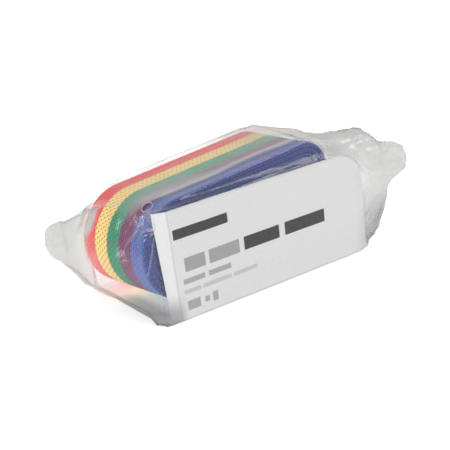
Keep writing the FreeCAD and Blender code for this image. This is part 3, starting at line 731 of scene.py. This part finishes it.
def film_grid():
    """Rings of film, with the same number of points on each of a section's eight sides."""
    stations = film_stations()
    places = [x for x, section in stations]
    values = [section.ravel() for x, section in stations]
    along = np.linspace(places[0], places[-1], FILM_ROWS)
    sides = len(SIDE_COUNTS)
    corners = smooth_between(places, values, along).reshape(len(along), sides, 2)
    ring = []
    for side, count in enumerate(SIDE_COUNTS):
        start = corners[:, side]
        end = corners[:, (side + 1) % sides]
        for number in range(count):
            part = number / count
            ring.append(start * (1 - part) + end * part)
    ring = np.stack(ring, 1)
    for _ in range(5):
        ring = 0.5 * ring + 0.5 * beside(ring)
    x = np.repeat(along[:, None], ring.shape[1], axis=1)
    return np.concatenate([x[..., None], ring], -1)


def value_noise(points, seed, scale):
    """Smooth noise from about -1 to 1 at each point, stretched by scale along each axis."""
    rng = np.random.RandomState(seed)
    total = np.zeros(points.shape[:-1])
    for octave in range(4):
        direction = rng.normal(size=(5, 3)) / np.asarray(scale) * 1.9 ** octave
        phase = rng.uniform(0, 2 * math.pi, 5)
        waves = np.sin(points @ direction.T + phase)
        total += waves.sum(-1) / 5 * 0.62 ** octave
    return total


def grid_normals(grid):
    """Outward direction at each point of a ring grid."""
    along = np.gradient(grid, axis=0)
    around = np.roll(grid, -1, axis=1) - np.roll(grid, 1, axis=1)
    normal = np.cross(along, around)
    return normal / np.maximum(np.linalg.norm(normal, axis=-1, keepdims=True), 1e-9)


def crumple(grid):
    """Pushes the film in and out: strongly where it is gathered at the right, hardly on the pack."""
    x, y, z = np.moveaxis(grid, -1, 0)
    left = fade(x, -66, -80)
    right = fade(x, 74, 96)
    body = 1 - np.maximum(left, right)
    soft = value_noise(grid, 3, (7, 7, 7))
    folds = value_noise(grid, 7, (26, 6, 6))
    pleats = 1 - 2 * np.abs(value_noise(grid, 11, (16, 5, 5)))
    move = right * (0.9 * soft + folds + 0.9 * pleats)
    move += left * (0.25 * soft + 0.5 * folds) + body * 0.35 * folds
    move *= 1 - 0.85 * fade(z, 9, 3) * fade(x, -40, -46)
    bunched = np.maximum(fade(x, -72, -82), right)
    return grid + grid_normals(grid) * move[..., None], body, bunched


# ---- film bag: settling on the pack

def roll_bends():
    """Outside of the roll as three bends in its XZ plane, with room for the strap's end."""
    left_x, left_radius = BENDS["left"]
    top_x, top_radius = BENDS["top"]
    bottom_x, bottom_radius = BENDS["bottom"]
    return [
        (left_x, left_radius, left_radius, 1),
        (bottom_x + 2.3, bottom_radius, bottom_radius, 1),
        (top_x, ROLL_HEIGHT - top_radius, top_radius, 1),
    ]


def roll_distance(x, z):
    """Signed distance from the roll's outside in its XZ plane, and the direction away from it."""
    bends = roll_bends()
    flat = np.stack([x, z], -1)
    best = np.full(x.shape, -1e9)
    away = np.zeros(flat.shape)
    for index, (centre_x, centre_z, radius, _) in enumerate(bends):
        arrive = tangent(bends[index - 1], bends[index])[0]
        leave, start, end = tangent(bends[index], bends[(index + 1) % 3])
        ahead = np.array([math.cos(leave), math.sin(leave)])
        outward = np.array([math.sin(leave), -math.cos(leave)])
        gap = flat - (centre_x, centre_z)
        size = np.maximum(np.linalg.norm(gap, axis=-1), 1e-6)
        after = gap @ (math.cos(arrive), math.sin(arrive)) >= 0
        closer = after & (gap @ ahead <= 0) & (size - radius > best)
        best = np.where(closer, size - radius, best)
        away = np.where(closer[..., None], gap / size[..., None], away)
        along = (flat - start) @ ahead
        out = (flat - start) @ outward
        closer = (along >= 0) & (along <= math.dist(start, end)) & (out > best)
        best = np.where(closer, out, best)
        away = np.where(closer[..., None], outward, away)
    return best, away[..., 0], away[..., 1]


def clear_roll(x, y, z, clear):
    """Moves points away from the roll's outside and its two flat sides."""
    in_plane, away_x, away_z = roll_distance(x, z)
    sideways = np.abs(y) - HALF_BELT - 0.25
    depth = np.minimum(np.maximum(in_plane, sideways), 0)
    outer = np.hypot(np.maximum(in_plane, 0), np.maximum(sideways, 0))
    lack = np.maximum(clear - (outer + depth), 0)
    through_side = sideways > in_plane
    both = (in_plane > 0) & (sideways > 0)
    length = np.maximum(outer, 1e-6)
    part_plane = np.where(both, in_plane / length, ~through_side)
    part_side = np.where(both, sideways / length, through_side)
    x = x + lack * part_plane * away_x
    z = z + lack * part_plane * away_z
    y = y + lack * part_side * np.sign(y)
    return x, y, z


def clear_buckle(x, y, z, clear):
    """Moves points off the buckle's two sides, where it fills the roll's open ends."""
    low, high = BUCKLE_BOX
    outside = np.stack([np.maximum(low[i] - v, v - high[i]) for i, v in enumerate((x, y, z))], -1)
    lack = clear - outside
    over_it = np.all(lack > 0, axis=-1) & (np.argmin(lack, axis=-1) == 1)
    return x, y + np.where(over_it, lack[..., 1] * np.sign(y), 0.0), z


def card_outline():
    """Card's plan as a few straight edges: flap, face and bent end."""
    bent = list(np.linspace(CARD_STRAIGHT, CARD_LENGTH, 5)[1:])
    plan = np.array([card_plan(s) for s in [-CARD_FLAP, 0.0, CARD_STRAIGHT] + bent])
    # The left edges lean, so they are taken a little above the middle of the card.
    plan[:2, 0] += 0.3 * CARD_LEFT_SLANT
    return plan


def clear_card(x, y, z, clear):
    """Moves points in front of the card's face, round its edges or over its top."""
    plan = card_outline()
    best = np.full(x.shape, 1e9)
    away = np.zeros(x.shape + (2,))
    flat = np.stack([x, y], -1)
    for start, end in zip(plan[:-1], plan[1:]):
        edge = end - start
        front = np.array([edge[1], -edge[0]]) / np.hypot(*edge)
        part = np.clip((flat - start) @ edge / (edge @ edge), 0, 1)[..., None]
        gap = flat - start - part * edge
        size = np.linalg.norm(gap, axis=-1)
        behind = gap @ front < 0
        closer = size < np.abs(best) - 1e-9
        best = np.where(closer, np.where(behind, -size, size), best)
        direction = np.where(behind[..., None], -gap, gap) / np.maximum(size, 1e-6)[..., None]
        away = np.where(closer[..., None], direction, away)
    lack_ahead = clear + CARD_THICKNESS - best
    lack_up = card_top_at(x) + clear - z
    lack_down = z - CARD_BOTTOM + 0.2
    inside = (lack_ahead > 0) & (best > -CARD_BACKING) & (lack_up > 0) & (lack_down > 0)
    go_up = inside & (lack_up < lack_ahead)
    go_down = inside & ~go_up & (lack_down < lack_ahead)
    go_ahead = inside & ~go_up & ~go_down
    z = z + np.where(go_up, lack_up, 0.0) - np.where(go_down, lack_down, 0.0)
    x = x + np.where(go_ahead, lack_ahead * away[..., 0], 0.0)
    y = y + np.where(go_ahead, lack_ahead * away[..., 1], 0.0)
    return x, y, z


def push_out(world, clear):
    """Moves points that are inside the roll, the buckle, the card or the floor back outside."""
    x = world[..., 0]
    y = world[..., 1] * COS_LEAN - (world[..., 2] - LIFT) * SIN_LEAN
    z = world[..., 1] * SIN_LEAN + (world[..., 2] - LIFT) * COS_LEAN
    for move in (clear_roll, clear_buckle, clear_card):
        x, y, z = move(x, y, z, clear)
    moved = roll_to_world(np.stack([x, y, z], -1))
    moved[..., 2] = np.maximum(moved[..., 2], FILM_FLOOR)
    return moved


def film_links(grid, slack):
    """Pairs of neighbouring slices of the grid, and how far apart each pair's points may get.

    Slack is how much longer than drawn the film is: along, around and diagonally.
    """
    rows, count = grid.shape[:2]
    slices = []
    for start in (0, 1):
        slices.append((np.s_[start:rows - 1:2, :], np.s_[start + 1:rows:2, :], slack[0]))
        slices.append((np.s_[:, start:count - 1:2], np.s_[:, start + 1:count:2], slack[1]))
    slices.append((np.s_[:, count - 1:count], np.s_[:, 0:1], slack[1]))
    for start in (0, 1):
        slices.append((np.s_[start:rows - 1:2, :-1], np.s_[start + 1:rows:2, 1:], slack[2]))
        slices.append((np.s_[start:rows - 1:2, 1:], np.s_[start + 1:rows:2, :-1], slack[2]))
    return [(first, second, np.linalg.norm(grid[second] - grid[first], axis=-1) * extra)
            for first, second, extra in slices]


def tighten(grid, first, second, rest, stretch, press):
    """One pass of a length constraint between two slices of the grid."""
    gap = grid[second] - grid[first]
    size = np.maximum(np.linalg.norm(gap, axis=-1), 1e-6)
    excess = size - rest
    give = np.where(excess > 0, stretch, press)
    move = 0.5 * (give * excess / size)[..., None] * gap
    grid[first] += move
    grid[second] -= move


def settle(grid, rounds, slack, weight, suction, stiffness):
    """Lets the film sink on to the pack: it hardly stretches, so what is slack buckles."""
    links = film_links(grid, slack)
    start_grid = grid.copy()
    hold = np.zeros((len(grid), 1, 1))
    hold[:HELD_ROWS, 0, 0] = np.linspace(1, 0, HELD_ROWS)
    hold[-2 * HELD_ROWS:, 0, 0] = np.linspace(0, 1, 2 * HELD_ROWS)
    for _ in range(rounds):
        normal = grid_normals(grid)
        grid[..., 2] -= weight
        grid -= normal * suction
        for first, second, rest in links:
            tighten(grid, first, second, rest, 0.9, 0.35)
        grid += stiffness * (beside(grid) - grid)
        grid[1:-1] += stiffness * ((grid[2:] + grid[:-2]) / 2 - grid[1:-1])
        grid += hold * (start_grid - grid)
        grid[:] = push_out(grid, FILM_CLEAR)


def flatten_brow(grid, body):
    """Draws the film smooth where it runs from the card's upper edge to the roof."""
    share = body * fade(grid[..., 2], 40, 46) * fade(grid[..., 1], -16, -21)
    for _ in range(12):
        grid += 0.6 * share[..., None] * (beside(grid) - grid)
        grid[:] = push_out(grid, FILM_CLEAR)


# ---- film bag: ridge, haze with painted shade and a painted highlight, and vent

def raise_ridge(grid):
    """Lifts the sharp fold that the gathered ends pull up along the roof.

    Also gives each point's distance behind the fold, and how much the fold reaches it.
    """
    x = grid[..., 0]
    line = -10.5 + 12.0 * fade(x, -42, -64) + 0.6 * np.sin(x / 9.0) + 0.3 * np.sin(x / 4.0 + 1.0)
    reach = fade(x, -60, -46) * fade(x, 88, 62) * (grid_normals(grid)[..., 2] > 0.2)
    behind = grid[..., 1] - line
    height = (1.1 + 0.4 * np.sin(x / 17.0)) * np.exp(-np.abs(behind) / np.where(behind > 0, 5.0, 2.2))
    raised = grid.copy()
    raised[..., 2] += height * reach
    return raised, behind, reach


def crease(across, along, width, length):
    """Strength of one doubled fold, fading out at its ends."""
    return np.exp(-(across / width) ** 2 - (along / length) ** 4)


def doubled_film_and_glint(grid, behind, reach):
    """Where the film is doubled: a band along the ridge, and two creases at the left end; with a third,
    stronger crease there that is a painted highlight, a white glint on the film.
    """
    x, y, z = np.moveaxis(grid, -1, 0)
    width = np.where(behind < 0, 1.3, 5.0 + 7.5 * fade(x, -2, -18))
    band = reach * np.exp(-(behind / width) ** 2)
    at_end = fade(x, -56, -59) * (x > -70)
    # Painted highlight: a white patch at the left end, over the red stripe, for a glint of light on the
    # film.
    band += 1.5 * crease(x + 70.0 - 0.8 * (z - 50), z - 50, 2.4, 7.5) * (y > -2)
    band += 0.8 * at_end * crease(y + 13.0 + 0.42 * (z - 48), z - 48, 0.8, 9.0)
    band += 0.6 * at_end * crease(y + 17.5 + 0.3 * (z - 50), z - 50, 0.6, 7.0)
    return band


def hazy_and_shaded_film(grid):
    """Where loose film hangs hazy at the rear of the roof; and painted shade in the low left corner, where
    the film is made milky grey for the shadow under the roll.
    """
    x, y, z = np.moveaxis(grid, -1, 0)
    upward = np.clip(2.5 * grid_normals(grid)[..., 2], 0, 1)
    for _ in range(16):
        upward = 0.5 * upward + 0.5 * beside(upward)
        upward[1:-1] = 0.5 * upward[1:-1] + 0.25 * (upward[2:] + upward[:-2])
    rear = fade(y, -4, 4) * upward * (0.06 + 0.5 * fade(x, 8, 58) ** 1.5) * fade(x, -62, -42)
    # Painted shade: the low left corner is made milky, and so grey, for the shadow under the roll.
    return rear + 0.45 * fade(z, 14, 6) * fade(x, -44, -50) * fade(y, 12, 2)


def punch_vent(grid, faces):
    """Round hole through the film where the air is let out: faces left, and the hole's rim."""
    flat = grid.reshape(-1, 3).copy()
    from_vent = np.hypot(flat[:, 0] - VENT[0], flat[:, 1] - VENT[1])
    nearest = np.argmin(np.where(flat[:, 2] < 30, np.inf, from_vent))
    normal = grid_normals(grid).reshape(-1, 3)[nearest]
    offset = flat - flat[nearest]
    far = np.linalg.norm(offset, axis=1) > 3 * VENT_RADIUS
    offset -= np.outer(offset @ normal, normal)
    distance = np.where(far, np.inf, np.linalg.norm(offset, axis=1))
    gone = distance < VENT_RADIUS
    kept = []
    edge = set()
    for face in faces:
        outside = [index for index in face if not gone[index]]
        if len(outside) == len(face):
            kept.append(face)
        else:
            edge.update(outside)
    for index in edge:
        flat[index] -= offset[index] * (1 - VENT_RADIUS / distance[index])
    sideways = np.cross(normal, (0.0, 0.0, 1.0))
    edge = sorted(edge, key=lambda index: math.atan2(offset[index] @ sideways, offset[index][2]))
    rim = np.array([flat[index] + 0.05 * normal for index in edge])
    return flat.reshape(grid.shape), kept, rim


def make_vent_lip(rim, material):
    """Rolled lip that punching leaves round the vent."""
    count = 48
    sides = 8
    steps = np.linspace(0, len(rim), count, endpoint=False)
    index = steps.astype(int)
    part = (steps - index)[:, None]
    line = rim[index] * (1 - part) + rim[(index + 1) % len(rim)] * part
    for _ in range(4):
        line = 0.5 * line + 0.25 * (np.roll(line, 1, axis=0) + np.roll(line, -1, axis=0))
    outward = line - rim.mean(axis=0)
    outward /= np.linalg.norm(outward, axis=1, keepdims=True)
    along = np.roll(line, -1, axis=0) - np.roll(line, 1, axis=0)
    along /= np.linalg.norm(along, axis=1, keepdims=True)
    across = np.cross(along, outward)
    angles = [2 * math.pi * number / sides for number in range(sides)]
    tube = [line + VENT_LIP * (math.cos(angle) * outward + math.sin(angle) * across) for angle in angles]
    verts = np.stack(tube, axis=1).reshape(-1, 3)
    # The last ring joins the first one again.
    open_tube = grid_faces(count + 1, sides, wrap=True)
    faces = [tuple(index % len(verts) for index in reversed(face)) for face in open_tube]
    lip = new_mesh("bag_vent_lip", verts, faces)
    set_float(lip, "gathered", np.full(len(verts), 2.5))
    lip.data.materials.append(material)
    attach(lip, "bag")
    return lip


def make_film(obstacles):
    """Thin film drawn over the pack, gathered at both ends, with its vent."""
    grid, body, bunched = crumple(film_grid())
    settle(grid, 70, (1.008, 1.012, 1.01), 0.02, 0.03, 0.02)
    flatten_brow(grid, body)
    raised, behind, reach = raise_ridge(grid)
    faces = tube_faces(*grid.shape[:2])
    punched, faces, rim = punch_vent(raised, faces)
    film = new_mesh("bag_film", punched.reshape(-1, 3), faces)
    stand_off(film, obstacles)
    set_float(film, "band", doubled_film_and_glint(grid, behind, reach))
    set_float(film, "haze_and_shade", hazy_and_shaded_film(grid))
    set_float(film, "gathered", bunched)
    material = film_material()
    film.data.materials.append(material)
    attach(film, "bag")
    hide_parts("poly_bag")
    lip = make_vent_lip(rim, material)
    for piece in (film, lip):
        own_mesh(piece)


def stand_off(film, obstacles):
    """Stores how far, up to 30 mm, the film stands away from what it wraps."""
    graph = bpy.context.evaluated_depsgraph_get()
    trees = [BVHTree.FromObject(obj, graph) for obj in obstacles]
    distances = []
    for vertex in film.data.vertices:
        found = [tree.find_nearest(vertex.co, 30 * MM)[3] for tree in trees]
        distances.append(min([distance for distance in found if distance is not None], default=30 * MM) / MM)
    set_float(film, "stand_off", distances)


def film_milk(n, place, streaks):
    """Share of light that the film scatters: clear where it lies on something, hazy elsewhere, with painted
    shade low at the left and a painted highlight at the left end.
    """
    away = n.attribute("stand_off")
    cloud = n.noise(place, 60.0, 3.0, 0.6)
    graze = n.add("LayerWeight", {"Blend": 0.5}).outputs["Facing"]
    haze = n.minus(1.0, n.math("EXPONENT", n.times(away, -0.045)))
    milk = n.scaled(n.power(haze, 1.8), 0.52, 0.006)
    milk = n.scaled(n.attribute("gathered"), 0.32, milk)
    milk = n.scaled(n.power(graze, 3.0), 0.28, milk)
    milk = n.plus(milk, n.attribute("haze_and_shade"))
    milk = n.times(milk, n.scaled(cloud, 0.6, 0.7))
    doubled = n.times(n.attribute("band"), n.scaled(streaks, 0.9, 0.5, clamp=True))
    return n.scaled(doubled, 0.85, milk, clamp=True)


def film_material():
    """Thin polyethylene with a soft sheen on its folds."""
    n = Nodes("clear_film")
    place = n.position()
    streaks = n.noise(n.stretched(place, (0.25, 1.0, 1.0)), 260.0, 3.0, 0.55)
    creases = n.noise(place, 75.0, 2.0, 0.5)
    normal = n.bump(n.scaled(streaks, 0.5, creases), 0.35, 0.002)
    # Painted shade: the film's scattering colour darkens towards the floor, for the shadow under the roll.
    height = n.add("SeparateXYZ", {"Vector": place}).outputs["Z"]
    tint = n.mix(n.fade(height, 0.024, 0.006), rgb(216, 216, 215), rgb(138, 138, 140))
    clear = n.shader("BsdfTransparent", Color=(0.985, 0.985, 0.985, 1))
    scatter = n.shader("BsdfDiffuse", Color=tint, Normal=normal)
    through = n.shader("BsdfTranslucent", Color=tint, Normal=normal)
    skin = n.blend(film_milk(n, place, streaks), clear, n.blend(0.4, scatter, through))
    shine = n.shader("BsdfGlossy", Color=(1, 1, 1, 1), Roughness=0.17, Normal=normal)
    skim = n.add("LayerWeight", {"Blend": 0.5, "Normal": normal}).outputs["Facing"]
    glare = n.scaled(n.power(skim, 4.0), 0.5, 0.038, clamp=True)
    return n.finish(n.blend(glare, skin, shine))


# ---- metal, thread and label

def metal_material(name, color, roughness, scratch):
    """Plated steel with faint draw marks, brighter along its worn edges."""
    n = Nodes(name)
    place = n.position()
    marks = n.noise(place, 900.0, 6.0, 0.7)
    dull = n.scaled(n.noise(place, 90.0, 3.0), scratch, roughness)
    pointy = n.add("NewGeometry").outputs["Pointiness"]
    toned = n.times(n.minus(pointy, 0.5, clamp=True), 4.0, clamp=True)
    tint = n.mix(toned, color, rgb(235, 233, 228))
    relief = n.bump(marks, 0.08, 0.0002)
    return n.finish(n.principled(Base_Color=tint, Metallic=1.0, Roughness=dull, Normal=relief))


def thread_material():
    """Cream sewing thread with its twist."""
    n = Nodes("sewing_thread")
    wave = {"Vector": n.position(), "Scale": 700.0, "Distortion": 2.0}
    ply = n.add("TexWave", wave, bands_direction="DIAGONAL").outputs["Fac"]
    color = n.ramp(ply, [(0.2, rgb(196, 190, 174)), (0.8, rgb(226, 222, 208))])
    relief = n.bump(ply, 0.5, 0.0002)
    return n.finish(n.principled(Base_Color=color, Roughness=0.75, Sheen_Weight=0.3, Normal=relief))


def label_material():
    """White woven tape of the care label."""
    n = Nodes("label_fabric")
    weave = n.noise(n.position(), 1500.0, 3.0, 0.6)
    color = n.ramp(weave, [(0.3, rgb(224, 224, 220)), (0.7, rgb(240, 240, 236))])
    relief = n.bump(weave, 0.3, 0.0002)
    return n.finish(n.principled(Base_Color=color, Roughness=0.8, Sheen_Weight=0.2, Normal=relief))


def dress_cad_nodes():
    """CAD pieces that stay as they are get the finish of the real part."""
    plated = ("strap_end_tip", "buckle_frame", "web_bar", "buckle_jaw", "jaw_pin")
    finishes = dict.fromkeys(plated, metal_material("nickel_steel", rgb(196, 194, 188), 0.2, 0.16))
    finishes["jaw_spring"] = metal_material("spring_steel", rgb(150, 150, 148), 0.32, 0.1)
    finishes["fold_stitching"] = thread_material()
    finishes["care_label"] = label_material()
    for name, material in finishes.items():
        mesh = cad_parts[name].data
        mesh.materials.clear()
        mesh.materials.append(material)


# ---- floor, light and camera

CAMERA_PLACE = (-0.4030, -0.4708, 0.2983)
CAMERA_AZIMUTH = math.radians(-41.07)
CAMERA_ELEVATION = math.radians(23.59)
CAMERA_LENS = 104.0
LIGHT_TARGET = Vector((0, 0, 0.03))
WORLD_LIGHT = 0.66


def make_floor():
    """White paper floor that glows a little, so that it stays white round the pack."""
    reach = 1500.0
    corners = [(-reach, -reach), (reach, -reach), (reach, reach), (-reach, reach)]
    floor = new_mesh("floor", [(x, y, -0.1) for x, y in corners], [(0, 1, 2, 3)], smooth=False)
    n = Nodes("floor_paper")
    paper = n.shader("BsdfDiffuse", Color=(0.9, 0.9, 0.9, 1))
    glow = n.shader("Emission", Strength=0.42)
    floor.data.materials.append(n.finish(n.add("AddShader", {0: paper, 1: glow}).outputs[0]))


def soft_box(name, place, size, power):
    """Square area light, in metres and watts, turned to the pack."""
    data = bpy.data.lights.new(name, "AREA")
    data.shape = "SQUARE"
    data.size = size
    data.energy = power
    light = bpy.data.objects.new(name, data)
    light.location = place
    light.rotation_euler = (LIGHT_TARGET - Vector(place)).to_track_quat("-Z", "Y").to_euler()
    bpy.context.scene.collection.objects.link(light)


def make_lights():
    """White surround, dimmer for everything but the camera, and four soft boxes."""
    world = bpy.data.worlds.new("studio")
    bpy.context.scene.world = world
    world.use_nodes = True
    tree = world.node_tree
    background = tree.nodes["Background"]
    path = tree.nodes.new("ShaderNodeLightPath")
    strength = tree.nodes.new("ShaderNodeMapRange")
    strength.inputs["To Min"].default_value = WORLD_LIGHT
    background.inputs["Color"].default_value = (1, 1, 1, 1)
    tree.links.new(path.outputs["Is Camera Ray"], strength.inputs["Value"])
    tree.links.new(strength.outputs["Result"], background.inputs["Strength"])
    soft_box("rear", (-0.36, 0.9, 0.26), 0.26, 1.3)
    soft_box("key", (-0.87, 0.22, 0.42), 0.3, 1.8)
    soft_box("front", (-0.5, -0.9, 0.45), 0.6, 1.6)
    soft_box("right", (0.62, -0.22, 0.8), 0.3, 1.5)


def make_camera():
    data = bpy.data.cameras.new("camera")
    data.lens = CAMERA_LENS
    data.clip_start = 0.01
    camera = bpy.data.objects.new("camera", data)
    camera.location = CAMERA_PLACE
    camera.rotation_euler = (math.pi / 2 - CAMERA_ELEVATION, 0, CAMERA_AZIMUTH)
    bpy.context.scene.collection.objects.link(camera)
    bpy.context.scene.camera = camera
    bpy.context.scene.view_settings.view_transform = "Standard"


webbing = make_webbing()
card = make_card()
dress_cad_nodes()
bpy.context.view_layer.update()
make_film([webbing, card])
make_floor()
make_lights()
make_camera()
